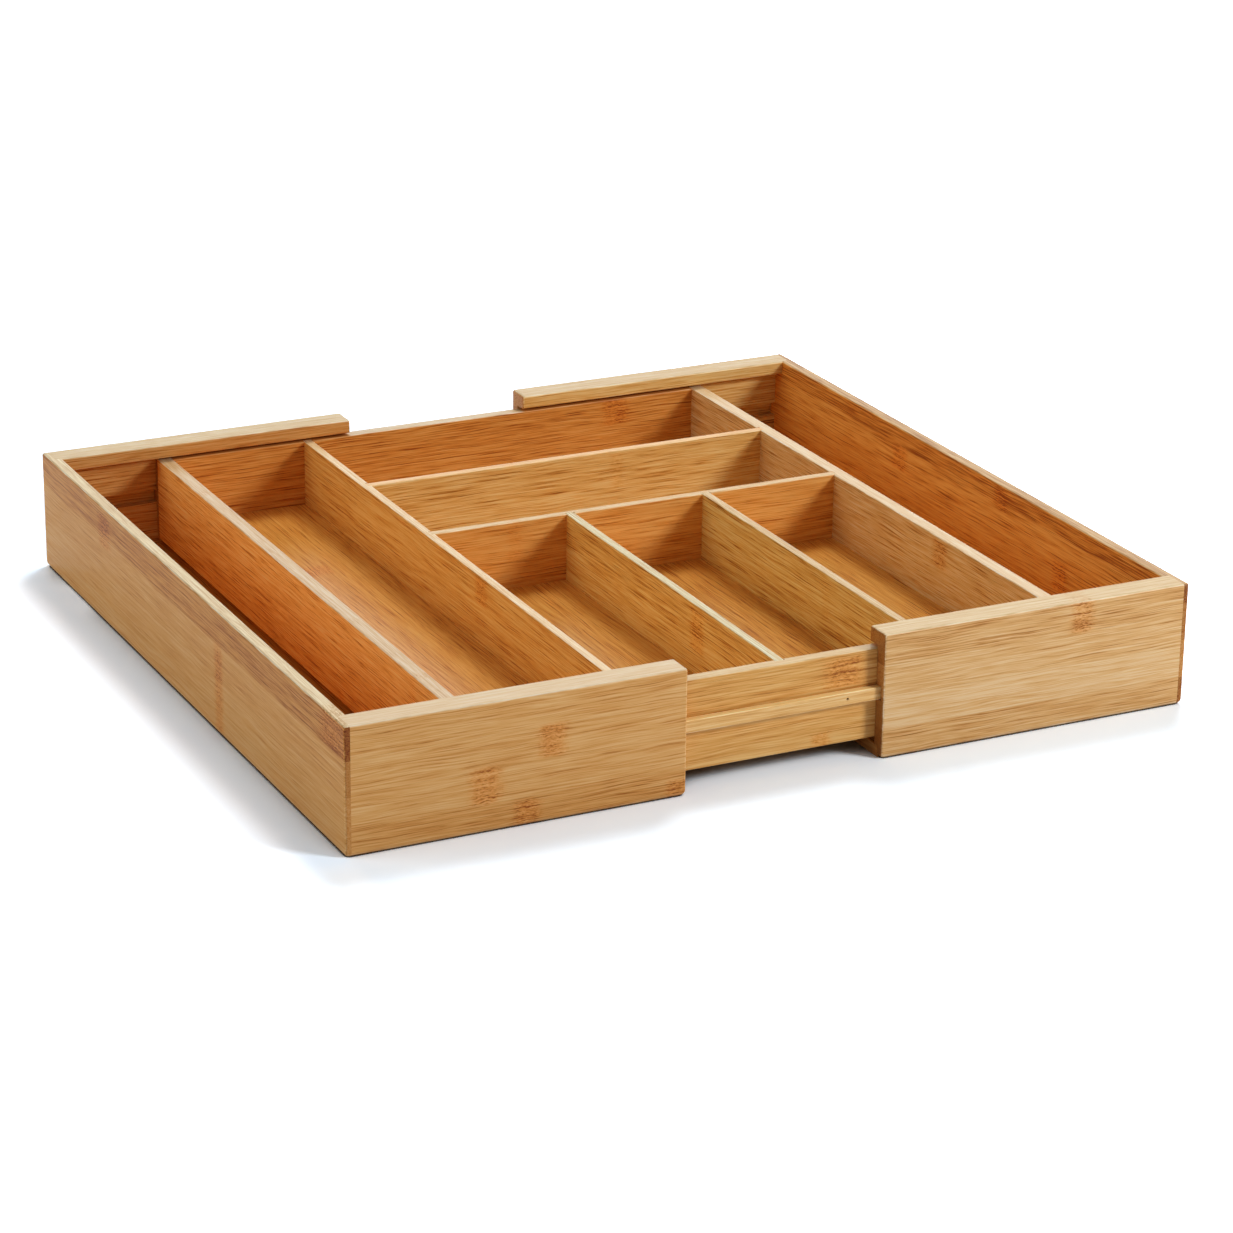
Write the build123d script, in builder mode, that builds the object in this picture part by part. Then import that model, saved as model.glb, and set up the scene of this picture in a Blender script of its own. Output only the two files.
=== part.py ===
from build123d import *
import os

# Extending bamboo cutlery tray: an inner tray divided into six compartments, and an extension on
# each side with a compartment of its own, which slides out along a rail on the inner tray.
# Millimetres. X runs left to right, Y front to back and Z up. The origin is the middle of the
# space that the tray covers, on the surface it stands on, with both extensions drawn part way out.

# The whole tray
depth = 430.0
height = 65.0
closed_width = 350.0
drawn_left = 55.0
drawn_right = 51.0

# Running clearances
slide_gap = 0.3
meeting_gap = 0.6
under_gap = 3.3
lip_gap = 1.6
groove_play = 0.5
groove_spare = 1.0

# Boards of the two extensions
end_thick = 7.0
leaf_thick = 7.0
tongue_thick = 3.0
lip_overhang = 8.0
lip_thick = 7.6
extension_floor_thick = 6.0
floor_rabbet = 3.0
arris = 1.2
tip_round = 1.3
foot_round = 3.0

# Rails of the inner tray, which run in the grooves of the extensions
rail_height = 6.4
rail_proud = 3.9
rail_centre = 33.6
rail_ease = 0.5
brad_radius = 0.55
brad_play = 0.05
brad_sink = 0.8
brad_cover = 0.5
brad_place_shares = (-0.45, -0.18, 0.10, 0.45)

# Walls, dividers and floor of the inner tray
wall_thick = 7.0
side_thick = 8.0
corner_rabbet = 4.0
divider_thick = 5.0
housing_depth = 2.0
tray_floor_thick = 4.0
tray_floor_lift = 5.7
floor_groove = 3.0
groove_relief = 0.2
wall_ease = 0.8
divider_ease = 0.7

# Compartments of the inner tray
long_bay_width = 77.0
front_bay_depth = 231.0
front_bay_count = 3

# Places that follow from the sizes above
rest_width = closed_width + drawn_left + drawn_right
board_length = (closed_width - meeting_gap) / 2
extension_floor_depth = depth - 2 * (leaf_thick - floor_rabbet)
half_depth = depth / 2
lip_reach = leaf_thick + lip_overhang
lip_low = height - lip_thick

tray_width = closed_width - 2 * (end_thick + slide_gap)
tray_left = -rest_width / 2 + end_thick + slide_gap + drawn_left
tray_right = tray_left + tray_width
tray_middle = (tray_left + tray_right) / 2
tray_low = extension_floor_thick + under_gap
tray_top = lip_low - lip_gap
tray_face = half_depth - leaf_thick - slide_gap
tray_inside = tray_face - wall_thick
side_end = tray_inside + corner_rabbet

tray_floor_low = tray_low + tray_floor_lift
tray_floor_top = tray_floor_low + tray_floor_thick
bay_left = tray_left + side_thick
bay_right = tray_right - side_thick

long_divider_x = bay_left + long_bay_width + divider_thick / 2
cross_left = long_divider_x + divider_thick / 2
cross_bay_width = bay_right - cross_left
middle_cross_y = -tray_inside + front_bay_depth + divider_thick / 2
back_bay_depth = (tray_inside - middle_cross_y - divider_thick - divider_thick / 2) / 2
rear_cross_y = tray_inside - back_bay_depth - divider_thick / 2
cross_divider_places = [rear_cross_y, middle_cross_y]
front_divider_count = front_bay_count - 1
front_bay_width = (cross_bay_width - front_divider_count * divider_thick) / front_bay_count
front_divider_places = [
    cross_left + front_bay_width * (i + 1) + divider_thick * i + divider_thick / 2
    for i in range(front_divider_count)
]

groove_low = rail_centre - rail_height / 2 - groove_play
groove_high = rail_centre + rail_height / 2 + groove_play
groove_bottom = leaf_thick - rail_proud - groove_spare
brad_places = [tray_middle + share * tray_width for share in brad_place_shares]
brad_depth = wall_thick - housing_depth - brad_cover
brad_length = rail_proud - brad_sink + brad_depth

FRONT, BACK = -1, 1
LEFT, RIGHT = -1, 1
same_place = 0.01


os.makedirs("parts", exist_ok=True)


def save(piece, name):
    """Names a finished piece and writes it to its own file."""
    piece.part.label = name
    export_step(piece.part, f"parts/{name}.step")


def near(value, place):
    """True where an edge's middle lies at the given place."""
    return abs(value - place) < same_place


def cut_housings(centres, along_x, along_y):
    """Cuts upright housings for the ends of dividers, centred at the given places on a face."""
    with BuildSketch(Plane.XY.offset(tray_floor_top)) as pockets:
        with Locations(*centres):
            Rectangle(along_x, along_y)
    extrude(pockets.sketch, amount=tray_top - tray_floor_top, mode=Mode.SUBTRACT)


def long_board(hand, face):
    """A front or back board of an extension: leaf, rail groove, overhanging lip and floor rabbet."""
    outer = hand * (rest_width / 2 - tongue_thick)
    inner = hand * (rest_width / 2 - board_length)

    def at(inward, up):
        """A point of the section, given inward from the outer face and up from the ground."""
        return face * (half_depth - inward), up

    with BuildPart() as board:
        with BuildSketch(Plane.YZ.offset(outer)):
            with BuildLine():
                Polyline(
                    at(0, 0),
                    at(leaf_thick - floor_rabbet, 0),
                    at(leaf_thick - floor_rabbet, extension_floor_thick),
                    at(leaf_thick, extension_floor_thick),
                    at(leaf_thick, groove_low),
                    at(groove_bottom, groove_low),
                    at(groove_bottom, groove_high),
                    at(leaf_thick, groove_high),
                    at(leaf_thick, lip_low),
                    at(lip_reach, lip_low),
                    at(lip_reach, height),
                    at(0, height),
                    close=True,
                )
            make_face()
        extrude(amount=inner - outer)
        # The foot and the free end's upper corner are rounded, then the other edges are eased.
        tips = board.edges().filter_by(Axis.Y).filter_by(lambda e: near(e.center().X, inner))
        tips = tips.sort_by(Axis.Z)
        foot = board.edges().filter_by(Axis.X).group_by(Axis.Z)[0]
        fillet([foot.sort_by(lambda e: face * e.center().Y)[-1], tips[0]], foot_round)
        fillet(tips[-1], tip_round)
        upright = board.faces().filter_by(Axis.Y).sort_by(lambda f: face * f.center().Y)
        eased = [
            e for e in upright[-1].edges() + upright[0].edges()
            if not near(e.center().X, outer) and e.center().Z > foot_round + same_place
        ]
        fillet(eased, arris)
    return board


def end_board(hand):
    """The plain board across the outer end of an extension, rabbeted for its other boards."""
    outer = hand * rest_width / 2
    inner = outer - hand * end_thick
    with BuildPart() as board:
        with BuildSketch(Plane.YZ.offset(outer)):
            Rectangle(depth, height, align=(Align.CENTER, Align.MIN))
        extrude(amount=-hand * end_thick)
        foot = board.faces().sort_by(Axis.Z)[0].edges().sort_by(lambda e: hand * e.center().X)
        fillet(foot[1:], foot_round)
        eased = [
            e for e in board.edges()
            if hand * e.center().X > hand * inner + same_place or e.center().Z > height - same_place
        ]
        fillet([e for e in eased if e.center().Z > foot_round + same_place], arris)
        # The rabbets fit the ends of the front and back boards, lip and all.
        for face in (FRONT, BACK):
            add(long_board(hand, face).part, mode=Mode.SUBTRACT)
        with BuildSketch(Plane.YZ.offset(inner)):
            Rectangle(extension_floor_depth, 2 * extension_floor_thick)
        extrude(amount=hand * floor_rabbet, mode=Mode.SUBTRACT)
    return board


def extension_floor(hand):
    """The floor panel of an extension, let into rabbets in its three boards."""
    outer = hand * (rest_width / 2 - end_thick + floor_rabbet)
    inner = hand * (rest_width / 2 - board_length)
    with BuildPart() as panel:
        with BuildSketch(Plane.YZ.offset(outer)):
            Rectangle(
                extension_floor_depth, extension_floor_thick, align=(Align.CENTER, Align.MIN)
            )
        extrude(amount=inner - outer)
    return panel


def tray_long_wall(face, divider_places):
    """The front or back wall of the inner tray, rabbeted for the side walls."""
    wall_height = tray_top - tray_low
    with BuildPart() as wall:
        with BuildSketch(Plane.YZ.offset(tray_left)) as section:
            with Locations((face * (tray_face + tray_inside) / 2, (tray_top + tray_low) / 2)):
                Rectangle(wall_thick, wall_height)
            fillet(section.vertices(), wall_ease)
            with Locations((face * tray_inside, tray_floor_low)):
                Rectangle(
                    2 * floor_groove,
                    tray_floor_thick,
                    align=(Align.CENTER, Align.MIN),
                    mode=Mode.SUBTRACT,
                )
        extrude(amount=tray_width)
        # Rabbets at both ends take the side walls.
        with BuildSketch(Plane.XY.offset(tray_low)):
            with Locations((tray_left, face * tray_inside), (tray_right, face * tray_inside)):
                Rectangle(2 * side_thick, 2 * corner_rabbet)
        extrude(amount=wall_height, mode=Mode.SUBTRACT)
        cut_housings(
            [(x, face * tray_inside) for x in divider_places], divider_thick, 2 * housing_depth
        )
        # Pilot holes for the brads that pin the rail on.
        with BuildSketch(Plane.XZ.offset(-face * tray_face)):
            with Locations(*[(x, rail_centre) for x in brad_places]):
                Circle(brad_radius + brad_play)
        extrude(amount=face * brad_depth, mode=Mode.SUBTRACT)
    return wall


def tray_side_wall(hand):
    """The left or right wall of the inner tray, let into the rabbets of the long walls."""
    outer = tray_left if hand == LEFT else tray_right
    inner = outer - hand * side_thick
    with BuildPart() as wall:
        with BuildSketch(Plane.XZ.offset(side_end)) as section:
            with Locations(((outer + inner) / 2, (tray_top + tray_low) / 2)):
                Rectangle(side_thick, tray_top - tray_low)
            fillet(section.vertices(), wall_ease)
            with Locations((inner, tray_floor_low)):
                Rectangle(
                    2 * floor_groove,
                    tray_floor_thick,
                    align=(Align.CENTER, Align.MIN),
                    mode=Mode.SUBTRACT,
                )
        extrude(amount=-2 * side_end)
        if hand == RIGHT:
            cut_housings([(inner, y) for y in cross_divider_places], 2 * housing_depth, divider_thick)
    return wall


def divider_across(y, front_places):
    """A divider along X, from the long divider to the right wall, housed in both."""
    start = cross_left - housing_depth
    length = cross_bay_width + 2 * housing_depth
    with BuildPart() as board:
        with BuildSketch(Plane.YZ.offset(start)) as section:
            with Locations((y, (tray_top + tray_floor_top) / 2)):
                Rectangle(divider_thick, tray_top - tray_floor_top)
            fillet(section.vertices().group_by(Axis.Y)[-1], divider_ease)
        extrude(amount=length)
        if front_places:
            front_face = y - divider_thick / 2
            cut_housings([(x, front_face) for x in front_places], divider_thick, 2 * housing_depth)
    return board


def divider_along(x, start, end, cross_places):
    """A divider along Y from start to end, housing the cross dividers on its right face."""
    with BuildPart() as board:
        with BuildSketch(Plane.XZ.offset(-start)) as section:
            with Locations((x, (tray_top + tray_floor_top) / 2)):
                Rectangle(divider_thick, tray_top - tray_floor_top)
            fillet(section.vertices().group_by(Axis.Y)[-1], divider_ease)
        extrude(amount=start - end)
        if cross_places:
            right_face = x + divider_thick / 2
            cut_housings([(right_face, y) for y in cross_places], 2 * housing_depth, divider_thick)
    return board


def tray_rail(face):
    """The rail on the outside of the front or back wall, bored for its brads."""
    with BuildPart() as rail:
        with BuildSketch(Plane.YZ.offset(tray_left)) as section:
            with Locations((face * (tray_face + rail_proud / 2), rail_centre)):
                Rectangle(rail_proud, rail_height)
            fillet(section.vertices().sort_by(lambda v: face * v.X)[-2:], rail_ease)
        extrude(amount=tray_width)
        with BuildSketch(Plane.XZ.offset(-face * tray_face)):
            with Locations(*[(x, rail_centre) for x in brad_places]):
                Circle(brad_radius + brad_play)
        extrude(amount=-face * rail_proud, mode=Mode.SUBTRACT)
    return rail


def rail_brads(face):
    """The brads that pin a rail to its wall, with their heads below the rail's face."""
    with BuildPart() as brads:
        with BuildSketch(Plane.XZ.offset(-face * (tray_face + rail_proud - brad_sink))):
            with Locations(*[(x, rail_centre) for x in brad_places]):
                Circle(brad_radius)
        extrude(amount=face * brad_length)
    return brads


# The inner tray
with BuildPart() as tray_floor:
    with BuildSketch(Plane.XY.offset(tray_floor_low)):
        with Locations(((bay_left + bay_right) / 2, 0)):
            Rectangle(
                bay_right - bay_left + 2 * (floor_groove - groove_relief),
                2 * (tray_inside + floor_groove - groove_relief),
            )
    extrude(amount=tray_floor_thick)
save(tray_floor, "tray_floor")

save(tray_long_wall(FRONT, [long_divider_x] + front_divider_places), "tray_front_wall")
save(tray_long_wall(BACK, [long_divider_x]), "tray_back_wall")
save(tray_side_wall(LEFT), "tray_left_wall")
save(tray_side_wall(RIGHT), "tray_right_wall")

housed_front = -tray_inside - housing_depth
housed_back = tray_inside + housing_depth
long_divider = divider_along(long_divider_x, housed_front, housed_back, cross_divider_places)
save(long_divider, "long_divider")

save(divider_across(rear_cross_y, []), "rear_cross_divider")
save(divider_across(middle_cross_y, front_divider_places), "middle_cross_divider")

front_divider_names = ["front_divider_left", "front_divider_right"]
front_divider_end = middle_cross_y - divider_thick / 2 + housing_depth
for name, x in zip(front_divider_names, front_divider_places):
    save(divider_along(x, housed_front, front_divider_end, []), name)

for face, place in ((FRONT, "front"), (BACK, "back")):
    save(tray_rail(face), f"{place}_rail")
    save(rail_brads(face), f"{place}_rail_brads")

# The two extensions
for hand, side in ((LEFT, "left"), (RIGHT, "right")):
    save(end_board(hand), f"{side}_end_board")
    save(long_board(hand, FRONT), f"{side}_front_board")
    save(long_board(hand, BACK), f"{side}_back_board")
    save(extension_floor(hand), f"{side}_floor")
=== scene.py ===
import math

import bpy
from mathutils import Matrix, Vector

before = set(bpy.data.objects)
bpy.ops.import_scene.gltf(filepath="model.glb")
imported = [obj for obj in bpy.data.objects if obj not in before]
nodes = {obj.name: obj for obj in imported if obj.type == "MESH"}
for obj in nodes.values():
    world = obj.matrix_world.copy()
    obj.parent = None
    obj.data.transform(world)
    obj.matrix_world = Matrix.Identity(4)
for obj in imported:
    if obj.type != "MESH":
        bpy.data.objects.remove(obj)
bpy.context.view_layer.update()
scene = bpy.context.scene

MM_PER_METRE = 1000.0
X, Y, Z = 0, 1, 2
CENTRE = (0.0, 0.0, 0.0)
BLACK = (0.0, 0.0, 0.0)


# Shader values

def rgba(color):
    return (*color, 1.0)


class Socket:
    """One output of a shader node. Arithmetic on it adds Math nodes to its tree.

    A socket without a link only stands for its tree, and starts the nodes that need no other.
    """

    def __init__(self, tree, link=None):
        self.tree, self.link = tree, link

    def node(self, kind, settings, sockets, output=0):
        """Adds a node: its settings first, then the values or links of its sockets."""
        made = self.tree.nodes.new(kind)
        for name, value in settings.items():
            if name == "stops":
                ramp = made.color_ramp
                while len(ramp.elements) < len(value):
                    ramp.elements.new(1.0)
                for element, (place, color) in zip(ramp.elements, value):
                    element.position, element.color = place, rgba(color)
            else:
                setattr(made, name, value)
        for name, value in sockets.items():
            if isinstance(value, Socket):
                self.tree.links.new(value.link, made.inputs[name])
            else:
                made.inputs[name].default_value = value
        return Socket(self.tree, made.outputs[output] if len(made.outputs) else None)

    def math(self, operation, *values):
        return self.node("ShaderNodeMath", {"operation": operation}, dict(enumerate(values)))

    def __add__(self, other): return self.math("ADD", self, other)
    def __radd__(self, other): return self.math("ADD", other, self)
    def __sub__(self, other): return self.math("SUBTRACT", self, other)
    def __rsub__(self, other): return self.math("SUBTRACT", other, self)
    def __mul__(self, other): return self.math("MULTIPLY", self, other)
    def __rmul__(self, other): return self.math("MULTIPLY", other, self)
    def __truediv__(self, other): return self.math("DIVIDE", self, other)
    def __abs__(self): return self.math("ABSOLUTE", self)

    def whole(self): return self.math("FLOOR", self)
    def fraction(self): return self.math("FRACT", self)
    def or_more(self, other): return self.math("MAXIMUM", self, other)
    def equals(self, whole): return self.math("COMPARE", self, float(whole), 0.5)

    def ramp_between(self, low, high):
        """Rises smoothly from 0 at low to 1 at high, or falls if low is the greater."""
        return self.node("ShaderNodeMapRange", {"interpolation_type": "SMOOTHSTEP"},
                         {"Value": self, "From Min": low, "From Max": high})

    def noise(self, kind, along, across, through):
        """Noise between 0 and 1 at a place in the wood, of one of the kinds named below."""
        length, width, depth, detail, roughness = kind
        point = self.node("ShaderNodeCombineXYZ", {}, {
            "X": along / length, "Y": across / width, "Z": through / depth})
        return self.node("ShaderNodeTexNoise", {}, {
            "Vector": point, "Scale": 1.0, "Detail": detail, "Roughness": roughness})

    def mix_color(self, factor, first, second, blend="MIX"):
        """Goes from the first colour to the second as the factor goes from 0 to 1."""
        first, second = [
            color if isinstance(color, Socket) else rgba(color) for color in (first, second)]
        return self.node("ShaderNodeMix", {"data_type": "RGBA", "blend_type": blend},
                         {"Factor": factor, 6: first, 7: second}, output=2)

    def tinted(self, tint):
        """This colour multiplied by a tint."""
        return self.mix_color(1.0, self, tint, "MULTIPLY")


def new_material(name):
    """An empty material and a starting socket in its tree."""
    material = bpy.data.materials.new(name)
    material.use_nodes = True
    material.node_tree.nodes.clear()
    return material, Socket(material.node_tree)


def finish_material(start, surface):
    start.node("ShaderNodeOutputMaterial", {}, {"Surface": surface})


def by_camera_ray(start, other, camera):
    """One surface or background for the camera's own rays, and another for all other rays."""
    camera_ray = start.node("ShaderNodeLightPath", {}, {}, output="Is Camera Ray")
    return start.node("ShaderNodeMixShader", {}, {0: camera_ray, 1: other, 2: camera})


def split(start, output):
    """The three parts of one of the texture coordinates."""
    place = start.node("ShaderNodeTexCoord", {}, {}, output=output)
    apart = start.node("ShaderNodeSeparateXYZ", {}, {"Vector": place})
    return [Socket(start.tree, part) for part in apart.link.node.outputs]


# Bamboo: strips glued edge to edge, with lengthwise fibres and a knuckle here and there.
# Lengths along, across and through the grain are in millimetres.

# The wood's colours, from its darkest tone at 0 to its palest near 1
WOOD_COLORS = [
    (0.00, (0.30, 0.085, 0.010)),
    (0.12, (0.45, 0.150, 0.022)),
    (0.38, (0.68, 0.310, 0.072)),
    (0.60, (0.77, 0.400, 0.115)),
    (0.92, (0.85, 0.520, 0.200)),
]

# Tints, which multiply the wood's colour
# Painted sheen: the tops are painted paler and cooler in place of the lamps' sheen on them
TOP_SHEEN_TINT = (1.04, 1.48, 2.60)
# Painted shade under the lips, on the wall tops that they cover
LIP_SHADE_TINT = (0.70, 0.56, 0.42)
# Wear and a painted highlight on the rounded edges
WORN_AND_HIGHLIGHT_TINT = (1.22, 1.42, 1.85)
KNUCKLE_TINT = (1.06, 0.80, 0.50)
SEAM_TINT = (0.70, 0.60, 0.50)
# Painted shade along the front wall just above the rail
RAIL_SHADE_LINE_TINT = (0.74, 0.68, 0.60)
PALE_END_TINT = (0.80, 0.67, 0.57)
DARK_END_TINT = (0.53, 0.38, 0.25)

# Painted shade along the rounded feet
FOOT_SHADE = (0.035, 0.022, 0.015)

# The kinds of noise: the length, width and depth of its grain, its detail and its roughness
FINE_FIBRES = (32.0, 0.66, 0.66, 2.0, 0.68)
MEDIUM_FIBRES = (55.0, 1.7, 1.7, 2.0, 0.60)
COARSE_FIBRES = (160.0, 6.0, 6.0, 2.0, 0.55)
DARK_DASHES = (9.0, 0.55, 0.55, 1.0, 0.50)
WANDERING = (40.0, 9.0, 9.0, 1.0, 0.50)
SWERVING = (5.0, 5.0, 5.0, 1.0, 0.50)
BROKEN_FIBRES = (2.0, 0.75, 0.95, 2.0, 0.65)
RAGGED_EDGES = (4.5, 1.3, 2.0, 3.0, 0.60)
RUBBED_PATCHES = (14.0, 3.0, 3.0, 2.0, 0.50)

# How much each thing changes the tone
MIDDLE_TONE = 0.56
FINE_STRENGTH, MEDIUM_STRENGTH, COARSE_STRENGTH, DASH_STRENGTH = 1.95, 0.52, 0.22, 0.12
TOP_CALMNESS = 0.5
STRIP_STRENGTH = 0.16
KNUCKLE_STRENGTH, KNUCKLE_DARKNESS = 1.55, 0.15

# How far a strip's lot and a board's seed shift the noise along the grain, and how far the seeds
# of a strip's two lots lie apart
STRIP_SHIFT, BOARD_SHIFT, SECOND_LOT = 900.0, 37.0, 50.5

# How far the fibres wander, how far they swerve inside a knuckle, and how far its ends stray,
# with the share of that by which its sides stray
WANDER, KNUCKLE_SWERVE, KNUCKLE_STRAY, SIDE_SHARE = 2.4, 2.0, 9.0, 0.3

# The faint knuckles of a board that has no known ones
FAINT_SPACING, FAINT_STRENGTH = 290.0, 0.5

KNUCKLE_STAIN, SEAM_STAIN = 0.5, 0.5

# Above this height a face that faces up is the top of a wall or of an extension's board.
TOP_LOW = 50.0

# Ramps: where each begins and where it is full. Those of a direction go by how much the surface
# faces it, those of a known knuckle by its half length or half height, the others by millimetres
# or by a share of 1.
FACING_UP = 0.45, 0.80
FACING_RIGHT = 0.50, 0.80
SAWN_ACROSS = 0.55, 0.85
ROUNDED_EDGE = 0.985, 0.88
FACING_DOWN, NOT_FLAT_DOWN = (-0.80, -0.92), (-0.999, -0.98)
FOOT_HEIGHT = 1.9, 1.0
KNUCKLE_ENDS, KNUCKLE_SIDES = (1.25, 0.35), (1.05, 0.75)
FAINT_ENDS = 6.0, 1.0
DASH_SHARE, PATCH_SHARE = (0.60, 0.74), (0.30, 0.60)
SEAM_SHARE = 0.012, 0.002
RAIL_SHADE_LINE = 1.8, 0.2
DARK_STRIP = 0.10, -0.10
SHORT_RISE, COVER_RISE = 2.0, 3.0

ROUGHNESS, TONE_SHINE, COVERED_DULLNESS = 0.46, 0.12, 0.5
SPECULAR, COAT, COAT_ROUGHNESS = 0.22, 0.14, 0.22
BUMP_STRENGTH, BUMP_DEPTH = 0.35, 0.12 / MM_PER_METRE
FINE_RELIEF, MEDIUM_RELIEF, DASH_RELIEF, KNUCKLE_RELIEF = 0.5, 0.5, 0.4, 0.3


def knuckle_marks(u, v, w, along, lot, knuckles):
    """Knuckles: those that a board is known to have, or a faint one at a spacing on each strip."""
    stray = (u.noise(RAGGED_EDGES, u, v, w) - 0.5) * KNUCKLE_STRAY
    off = ((along / FAINT_SPACING).fraction() - 0.5) * FAINT_SPACING + stray
    faintness = 0.0 if knuckles else FAINT_STRENGTH
    knuckle = abs(off).ramp_between(*FAINT_ENDS) * lot * faintness
    for at, height, half_length, half_height, depth in knuckles:
        du = (u - at + stray) / half_length
        dv = (v - height + stray * SIDE_SHARE) / half_height
        within = abs(du).ramp_between(*KNUCKLE_ENDS) * abs(dv).ramp_between(*KNUCKLE_SIDES)
        knuckle = knuckle.or_more(within * depth)
    return knuckle


def bamboo(name, grain, across, seed, first_seam, strip, tint, contrast,
           knuckles=(), strips_apart={}, top_sheen_tint=TOP_SHEEN_TINT, top_low=TOP_LOW, dark_ends=(),
           rail_shade_lines=(), lip_shade_past=None, outer_tint=None):
    """Bamboo with its grain along one axis and its strips side by side along another."""
    material, start = new_material(name)
    axes = [part * MM_PER_METRE for part in split(start, "Object")]
    u, v, w = axes[grain], axes[across], axes[3 - grain - across]
    facing = split(start, "Normal")

    # Each strip has its own tone and its own run of fibres.
    place_in_strips = (v - first_seam) / strip
    number = place_in_strips.whole()
    lot, second_lot = [
        start.node("ShaderNodeTexWhiteNoise", {"noise_dimensions": "1D"}, {"W": number + shift})
        for shift in (seed, seed + SECOND_LOT)]
    along = u + lot * STRIP_SHIFT + seed * BOARD_SHIFT
    apart = (lot - 0.5) * STRIP_STRENGTH
    for which, change in strips_apart.items():
        apart = apart + number.equals(which) * change

    # The fibres wander a little, and inside a knuckle they swerve and break up into short dashes.
    knuckle = knuckle_marks(u, v, w, along, second_lot, knuckles)
    wander = start.noise(WANDERING, u, v, w)
    swerve = start.noise(SWERVING, u, v, w)
    v_fibre = v + (wander - 0.5) * WANDER + knuckle * (swerve - 0.5) * KNUCKLE_SWERVE
    broken = start.noise(BROKEN_FIBRES, u, v_fibre, w)
    fine, medium, coarse, dashes = [
        start.noise(kind, along, v_fibre, w)
        for kind in (FINE_FIBRES, MEDIUM_FIBRES, COARSE_FIBRES, DARK_DASHES)]
    dashes = dashes.ramp_between(*DASH_SHARE)

    # The tops are calmer, and painted paler as a painted sheen, but not where the lips above cover
    # them.
    up = (facing[Z].ramp_between(*FACING_UP)
          * axes[Z].ramp_between(top_low, top_low + SHORT_RISE))
    lip_shade = 0.0
    if lip_shade_past:
        lip_shade = up * abs(u).ramp_between(lip_shade_past, lip_shade_past + COVER_RISE)
    fibres = ((fine - 0.5) * FINE_STRENGTH + (medium - 0.5) * MEDIUM_STRENGTH
              + (coarse - 0.5) * COARSE_STRENGTH - dashes * DASH_STRENGTH)
    tone = (MIDDLE_TONE + fibres * contrast * (1.0 - up * TOP_CALMNESS) + apart
            + knuckle * ((broken - 0.5) * KNUCKLE_STRENGTH - KNUCKLE_DARKNESS))
    color = start.node("ShaderNodeValToRGB", {"stops": WOOD_COLORS}, {"Fac": tone})
    color = start.mix_color(knuckle * KNUCKLE_STAIN, color, color.tinted(KNUCKLE_TINT))
    seam = place_in_strips.fraction().ramp_between(*SEAM_SHARE)
    color = start.mix_color(seam * SEAM_STAIN, color, color.tinted(SEAM_TINT))

    # Sawn ends are darker, and darkest on the strips that have a dark tone or a known dark end.
    darkened = apart.ramp_between(*DARK_STRIP)
    for which in dark_ends:
        darkened = darkened.or_more(number.equals(which))
    end_tint = start.mix_color(darkened, PALE_END_TINT, DARK_END_TINT)
    sawn = abs(facing[grain])
    if across == X:
        sawn = sawn.or_more(abs(facing[X]))
    # The right end's inner face keeps a deeper orange, painted light and shade of the tray's
    # inside; its outer face takes the board's plain colour.
    if outer_tint:
        tint = start.mix_color(facing[X].ramp_between(*FACING_RIGHT), tint, outer_tint)
    tint = start.mix_color(up - lip_shade, tint, top_sheen_tint)
    tint = start.mix_color(sawn.ramp_between(*SAWN_ACROSS), tint, end_tint)
    color = color.tinted(tint)
    # Painted shade: a dark line along the front wall just above the rail.
    for height in rail_shade_lines:
        line = abs(v - height).ramp_between(*RAIL_SHADE_LINE)
        color = start.mix_color(line, color, color.tinted(RAIL_SHADE_LINE_TINT))
    # Painted shade: the wall tops under the lips are painted darker.
    if lip_shade_past:
        color = start.mix_color(lip_shade, color, color.tinted(LIP_SHADE_TINT))

    # The rounded edges are a little paler, here more and there less: rubbed wear and a painted
    # highlight.
    sides = [abs(part) for part in facing]
    flatness = sides[X].or_more(sides[Y]).or_more(sides[Z])
    patchy = start.noise(RUBBED_PATCHES, u, v, w).ramp_between(*PATCH_SHARE)
    color = start.mix_color(flatness.ramp_between(*ROUNDED_EDGE) * patchy, color,
                            color.tinted(WORN_AND_HIGHLIGHT_TINT))

    # Painted shade: a dark line runs where the rounded feet turn under, towards the floor.
    under = (facing[Z].ramp_between(*FACING_DOWN) * facing[Z].ramp_between(*NOT_FLAT_DOWN)
             * axes[Z].ramp_between(*FOOT_HEIGHT))
    color = start.mix_color(under, color, FOOT_SHADE)

    height = (fine * FINE_RELIEF + medium * MEDIUM_RELIEF - dashes * DASH_RELIEF
              - knuckle * broken * KNUCKLE_RELIEF)
    normal = start.node("ShaderNodeBump", {}, {
        "Strength": BUMP_STRENGTH, "Distance": BUMP_DEPTH, "Height": height})
    finish_material(start, start.node("ShaderNodeBsdfPrincipled", {}, {
        "Base Color": color,
        "Roughness": ROUGHNESS - tone * TONE_SHINE + lip_shade * COVERED_DULLNESS,
        "Specular IOR Level": SPECULAR,
        "Coat Weight": (1.0 - lip_shade) * COAT,
        "Coat Roughness": COAT_ROUGHNESS,
        "Normal": normal,
    }))
    return material
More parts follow.
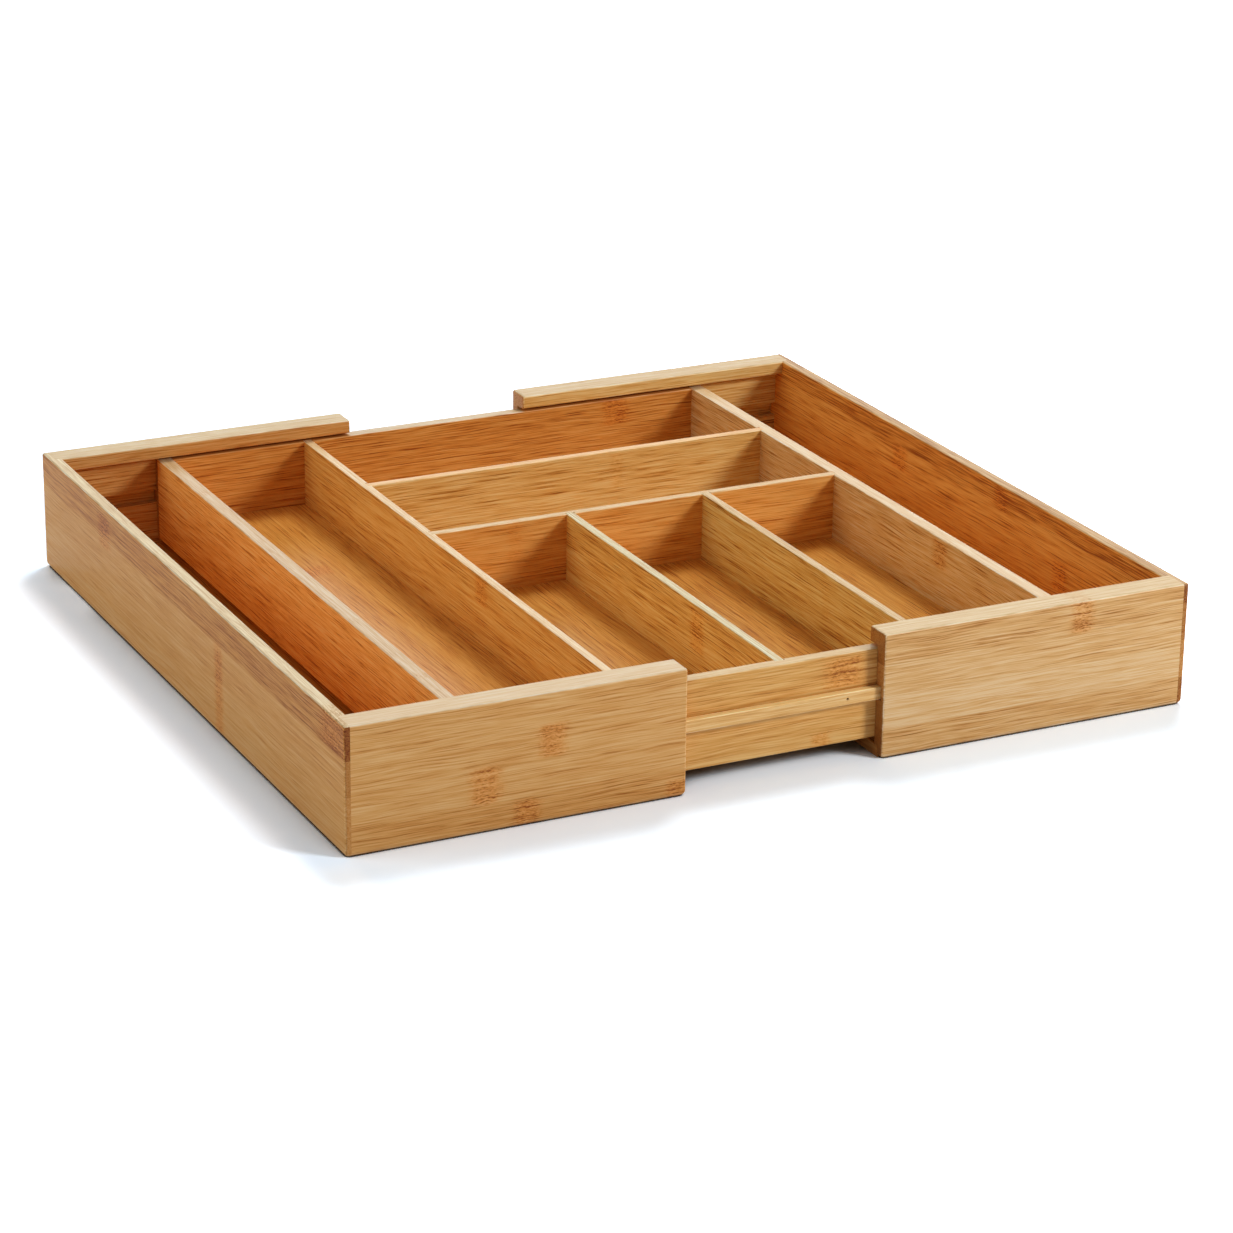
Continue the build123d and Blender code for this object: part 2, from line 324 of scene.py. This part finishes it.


# For each board: the axis of its grain, the axis that its strips lie along, a seed, the first
# seam and the strips' width, a tint, and how strongly its fibres show. Some have known knuckles,
# strips that stand apart in tone, a right face with a tint of its own, or a top edge that is
# painted darker, past a place along it, as painted shade under the lips above it.
# A knuckle is its place along the grain and across it, half its length, half its height, and its
# strength.
BOARDS = {
    "left_front_board": dict(
        grain=X, across=Z, seed=1.0, first_seam=14.5, strip=17.0, tint=(1.01, 1.01, 1.08),
        contrast=0.95, strips_apart={-1: -0.09, 0: 0.14}, top_sheen_tint=(0.98, 1.35, 2.50),
        dark_ends=(-1, 2),
        knuckles=[(-123.4, 41.0, 8, 9, 1.0), (-157.6, 23.5, 9, 10, 1.0),
                  (-136.6, 6.5, 8, 7, 1.0), (-58.7, 5.0, 6, 5, 0.8)]),
    "right_front_board": dict(
        grain=X, across=Z, seed=2.0, first_seam=15.5, strip=16.7, tint=(1.05, 1.21, 1.70),
        contrast=0.95, strips_apart={0: 0.12}, top_sheen_tint=(1.02, 1.49, 2.84),
        dark_ends=(-1, 0), knuckles=[(165.7, 56.5, 7, 9, 1.0)]),
    "left_back_board": dict(
        grain=X, across=Z, seed=3.0, first_seam=10.0, strip=21.0, tint=(0.91, 0.89, 0.88),
        contrast=1.2, top_sheen_tint=(0.90, 1.27, 2.24)),
    "right_back_board": dict(
        grain=X, across=Z, seed=4.0, first_seam=16.0, strip=20.0, tint=(1.03, 1.22, 1.32),
        contrast=1.2, top_sheen_tint=(0.88, 1.17, 1.92)),
    "left_end_board": dict(
        grain=Y, across=Z, seed=5.0, first_seam=12.0, strip=18.0, tint=(1.00, 0.95, 0.88),
        contrast=0.80, strips_apart={-1: 0.22, 0: 0.09, 1: -0.05, 2: -0.24},
        top_sheen_tint=(1.17, 2.02, 4.90),
        knuckles=[(113.9, 52.0, 10, 10, 0.8), (-53.5, 24.0, 6, 26, 1.0),
                  (-202.0, 57.0, 18, 9, 0.8)]),
    # Its inner face's deeper orange is painted light and shade of the tray's inside.
    "right_end_board": dict(
        grain=Y, across=Z, seed=6.0, first_seam=15.0, strip=20.0, tint=(1.16, 0.91, 0.52),
        contrast=1.35, strips_apart={-1: -0.06, 1: -0.02, 2: -0.28},
        top_sheen_tint=(0.95, 1.26, 2.05), outer_tint=(1.00, 0.97, 0.88),
        knuckles=[(60.6, 47.8, 9, 8, 0.8), (-46.8, 57.5, 8, 7, 0.8), (-107.2, 33.2, 8, 9, 0.9)]),
    "left_floor": dict(
        grain=Y, across=X, seed=7.0, first_seam=3.0, strip=20.0, tint=(1.02, 0.88, 0.53),
        contrast=1.2),
    "right_floor": dict(
        grain=Y, across=X, seed=8.0, first_seam=5.0, strip=20.0, tint=(1.02, 0.88, 0.53),
        contrast=1.2),
    "tray_floor": dict(
        grain=Y, across=X, seed=9.0, first_seam=7.0, strip=19.0, tint=(1.10, 0.97, 0.57),
        contrast=1.2, knuckles=[(96.9, -115.1, 8, 8, 0.7)]),
    "tray_front_wall": dict(
        grain=X, across=Z, seed=10.0, first_seam=13.0, strip=20.0, tint=(1.07, 1.10, 1.08),
        contrast=0.95, strips_apart={-1: 0.12}, top_sheen_tint=(1.00, 1.36, 2.25), rail_shade_lines=(37.4,),
        lip_shade_past=52.0, knuckles=[(35.2, 46.3, 12, 8, 0.9), (23.7, 12.7, 6, 4, 0.9)]),
    "tray_back_wall": dict(
        grain=X, across=Z, seed=11.0, first_seam=17.0, strip=19.0, tint=(0.93, 0.78, 0.56),
        contrast=1.35, top_sheen_tint=(0.90, 1.27, 2.45), lip_shade_past=52.0,
        knuckles=[(112.1, 47.9, 9, 8, 1.0)]),
    "tray_left_wall": dict(
        grain=Y, across=Z, seed=12.0, first_seam=15.0, strip=20.0, tint=(1.30, 1.22, 0.97),
        contrast=1.3, top_sheen_tint=(0.93, 1.25, 2.35)),
    "tray_right_wall": dict(
        grain=Y, across=Z, seed=13.0, first_seam=12.0, strip=21.0, tint=(0.97, 1.12, 1.38),
        contrast=1.3, top_sheen_tint=(1.00, 1.34, 2.40), knuckles=[(-83.0, 46.3, 8, 8, 0.9)]),
    "long_divider": dict(
        grain=Y, across=Z, seed=14.0, first_seam=16.0, strip=19.0, tint=(0.97, 0.99, 0.73),
        contrast=1.3, top_sheen_tint=(1.13, 1.57, 2.95), knuckles=[(-38.7, 47.8, 8, 8, 0.9)]),
    "rear_cross_divider": dict(
        grain=X, across=Z, seed=15.0, first_seam=14.0, strip=20.0, tint=(1.03, 1.24, 1.34),
        contrast=1.3, top_sheen_tint=(1.10, 1.24, 1.65)),
    "middle_cross_divider": dict(
        grain=X, across=Z, seed=16.0, first_seam=12.0, strip=22.0, tint=(1.02, 0.91, 0.70),
        contrast=1.3, top_sheen_tint=(0.96, 1.19, 1.75)),
    "front_divider_left": dict(
        grain=Y, across=Z, seed=17.0, first_seam=18.0, strip=20.0, tint=(1.12, 1.26, 1.02),
        contrast=1.3, top_sheen_tint=(0.98, 1.64, 3.35), knuckles=[(-121.0, 42.1, 8, 12, 0.9)]),
    "front_divider_right": dict(
        grain=Y, across=Z, seed=18.0, first_seam=11.0, strip=21.0, tint=(0.98, 1.20, 1.06),
        contrast=1.3, top_sheen_tint=(0.98, 1.36, 2.35)),
    # The rails' tops are painted paler still: a painted highlight along their top edges.
    "front_rail": dict(
        grain=X, across=Z, seed=19.0, first_seam=10.0, strip=40.0, tint=(1.17, 1.34, 1.68),
        contrast=0.9, top_sheen_tint=(1.50, 2.05, 2.90), top_low=33.0),
    "back_rail": dict(
        grain=X, across=Z, seed=20.0, first_seam=12.0, strip=40.0, tint=(1.17, 1.34, 1.68),
        contrast=0.9, top_sheen_tint=(1.50, 2.05, 2.90), top_low=33.0),
}

for board, recipe in BOARDS.items():
    nodes[board].material_slots[0].material = bamboo(f"bamboo_{board}", **recipe)


# Brads

BRAD_DARK, BRAD_PALE = (0.05, 0.042, 0.036), (0.14, 0.12, 0.10)
BRAD_PATCHES_PER_METRE = 1500.0
BRAD_ROUGHNESS, BRAD_UNEVENNESS = 0.40, 0.2


def dulled_wire():
    """The plain steel of the brads, gone dull."""
    material, start = new_material("dulled_wire")
    place = start.node("ShaderNodeTexCoord", {}, {}, output="Object")
    patches = start.node("ShaderNodeTexNoise", {}, {
        "Vector": place, "Scale": BRAD_PATCHES_PER_METRE})
    finish_material(start, start.node("ShaderNodeBsdfPrincipled", {}, {
        "Base Color": start.mix_color(patches, BRAD_DARK, BRAD_PALE),
        "Metallic": 1.0,
        "Roughness": BRAD_ROUGHNESS + patches * BRAD_UNEVENNESS,
    }))
    return material


wire = dulled_wire()
for brads in ("front_rail_brads", "back_rail_brads"):
    nodes[brads].material_slots[0].material = wire


# Floor: lengths in metres. Its colours may be above 1, which makes the lit floor plain white.

FLOOR_SIZE = 12.0
FADE_TO_WHITE = 0.45, 0.90
FAR_GLOW = (0.90, 0.90, 0.90)
UNSEEN_GREY = (0.76, 0.76, 0.76)

# Shade near the tray goes by how open the floor is to a direction that leans outwards.
SHADE_REACH, SHADE_SAMPLES = 0.036, 12
LEAN_OUT, LEAN_UP = 0.87, 0.50
TURN_AT_Y, TURN_AT_X = (0.12, 0.20), (-0.10, 0.10)
OPEN_TO_LIFT, LIFT = (0.56, 0.75), (0.06, 0.07, 0.08)
OPEN_TO_SHADED, OPEN_TO_CLEAR = (0.47, 0.60), (0.59, 0.72)
FLOOR_DEEP = (0.26, 0.28, 0.30)
FLOOR_SHADED = (0.76, 0.87, 0.96)
FLOOR_CLEAR = (1.26, 1.40, 1.53)

# Beside the ends the floor is painted bluer, against the warm light the bamboo throws there,
# and whiter further out, so that the shadow ends sooner: painted light.
PAST_ENDS, FURTHER_OUT = (0.222, 0.232), (0.239, 0.255)
BEHIND_FRONT = -0.235, -0.205
FLOOR_BY_CORNERS = (1.45, 1.52, 1.58)
FLOOR_BESIDE = (1.25, 1.50, 1.76)
FLOOR_FURTHER_OUT = (1.75, 1.95, 2.16)

# Painted contact shade: the floor is darkest under the rounded feet, within a few
# millimetres of the boards.
CONTACT_REACH, CONTACT_SAMPLES = 0.004, 8
CONTACT = 0.52, 0.30
FLOOR_UNDER_FEET = (0.075, 0.050, 0.028)


def pale_floor():
    """A white floor that keeps shadows, darkest where the tray shuts it in."""
    material, start = new_material("pale_floor")
    x, y, _ = split(start, "Object")
    away = (x * x + y * y).math("SQRT", x * x + y * y).ramp_between(*FADE_TO_WHITE)

    # Outwards is forwards, or backwards behind the tray, and turns by way of the tray's sides.
    lean_y = y.ramp_between(*TURN_AT_Y) * (2.0 * LEAN_OUT) - LEAN_OUT
    lean_x = (LEAN_OUT - abs(lean_y)) * (x.ramp_between(*TURN_AT_X) * 2.0 - 1.0)
    outward = start.node("ShaderNodeCombineXYZ", {}, {"X": lean_x, "Y": lean_y, "Z": LEAN_UP})
    openness = start.node("ShaderNodeAmbientOcclusion", {"samples": SHADE_SAMPLES},
                          {"Distance": SHADE_REACH, "Normal": outward}, output="AO")

    out = abs(x)
    past_ends = out.ramp_between(*PAST_ENDS)
    beside = past_ends * y.ramp_between(*BEHIND_FRONT)
    clear = start.mix_color(past_ends, FLOOR_CLEAR, FLOOR_BY_CORNERS)
    clear = start.mix_color(beside, clear, FLOOR_BESIDE)
    clear = start.mix_color(out.ramp_between(*FURTHER_OUT), clear, FLOOR_FURTHER_OUT)
    color = start.mix_color(openness.ramp_between(*OPEN_TO_SHADED), FLOOR_DEEP, FLOOR_SHADED)
    color = start.mix_color(openness.ramp_between(*OPEN_TO_CLEAR), color, clear)
    lift = start.mix_color(openness.ramp_between(*OPEN_TO_LIFT), BLACK, LIFT)

    nearness = start.node("ShaderNodeAmbientOcclusion", {"samples": CONTACT_SAMPLES},
                          {"Distance": CONTACT_REACH}, output="AO")
    contact = nearness.ramp_between(*CONTACT)
    color = start.mix_color(contact, color, FLOOR_UNDER_FEET)
    lift = start.mix_color(contact, lift, BLACK)

    glow = start.node("ShaderNodeEmission", {}, {"Color": start.mix_color(away, lift, FAR_GLOW)})
    seen = start.node("ShaderNodeBsdfDiffuse", {}, {"Color": color})
    unseen = start.node("ShaderNodeBsdfDiffuse", {}, {"Color": rgba(UNSEEN_GREY)})
    both = start.node("ShaderNodeAddShader", {}, {0: seen, 1: glow})
    finish_material(start, by_camera_ray(start, unseen, both))
    return material


bpy.ops.mesh.primitive_plane_add(size=FLOOR_SIZE, location=CENTRE)
floor = bpy.context.object
floor.name = "studio_floor"
floor.data.materials.append(pale_floor())


# Backdrop and light

ROOM_LIGHT, BACKDROP_LIGHT = 0.15, 1.0

world = bpy.data.worlds.new("studio_white")
scene.world = world
world.use_nodes = True
world.node_tree.nodes.clear()
sky = Socket(world.node_tree)
room, backdrop = [
    sky.node("ShaderNodeBackground", {}, {"Color": (1.0, 1.0, 1.0, 1.0), "Strength": strength})
    for strength in (ROOM_LIGHT, BACKDROP_LIGHT)]
sky.node("ShaderNodeOutputWorld", {}, {"Surface": by_camera_ray(sky, room, backdrop)})


def soft_box(name, place, width, height, watts):
    """A soft rectangular lamp that faces the middle of the tray."""
    lamp = bpy.data.lights.new(name, "AREA")
    lamp.shape = "RECTANGLE"
    lamp.size, lamp.size_y, lamp.energy = width, height, watts
    holder = bpy.data.objects.new(name, lamp)
    scene.collection.objects.link(holder)
    holder.location = place
    holder.rotation_euler = (Vector(CENTRE) - Vector(place)).to_track_quat("-Z", "Y").to_euler()


soft_box("key_light", (0.75, 0.85, 2.20), 0.7, 0.7, 24.5)
soft_box("front_light", (1.25, -1.50, 1.06), 0.5, 0.5, 24.0)
soft_box("sheen_light", (1.35, 2.35, 1.30), 2.6, 1.5, 22.0)
soft_box("left_light", (-1.75, 0.35, 0.90), 1.2, 1.0, 10.5)


# Camera, fitted to the tray's corners in the photograph

CAMERA_PLACE = (-0.84305, -1.73186, 0.74009)
CAMERA_YAW, CAMERA_PITCH, CAMERA_ROLL = 0.4601, 0.3629, 0.0126
CAMERA_LENS, CAMERA_SENSOR = 114.224, 36.0

camera_data = bpy.data.cameras.new("photo_camera")
camera_data.sensor_width = CAMERA_SENSOR
camera_data.sensor_fit = "HORIZONTAL"
camera_data.lens = CAMERA_LENS
camera = bpy.data.objects.new("photo_camera", camera_data)
scene.collection.objects.link(camera)
turn = (Matrix.Rotation(-CAMERA_YAW, 4, "Z")
        @ Matrix.Rotation(math.pi / 2 - CAMERA_PITCH, 4, "X")
        @ Matrix.Rotation(CAMERA_ROLL, 4, "Z"))
camera.matrix_world = Matrix.Translation(CAMERA_PLACE) @ turn
scene.camera = camera

scene.view_settings.view_transform = "Standard"
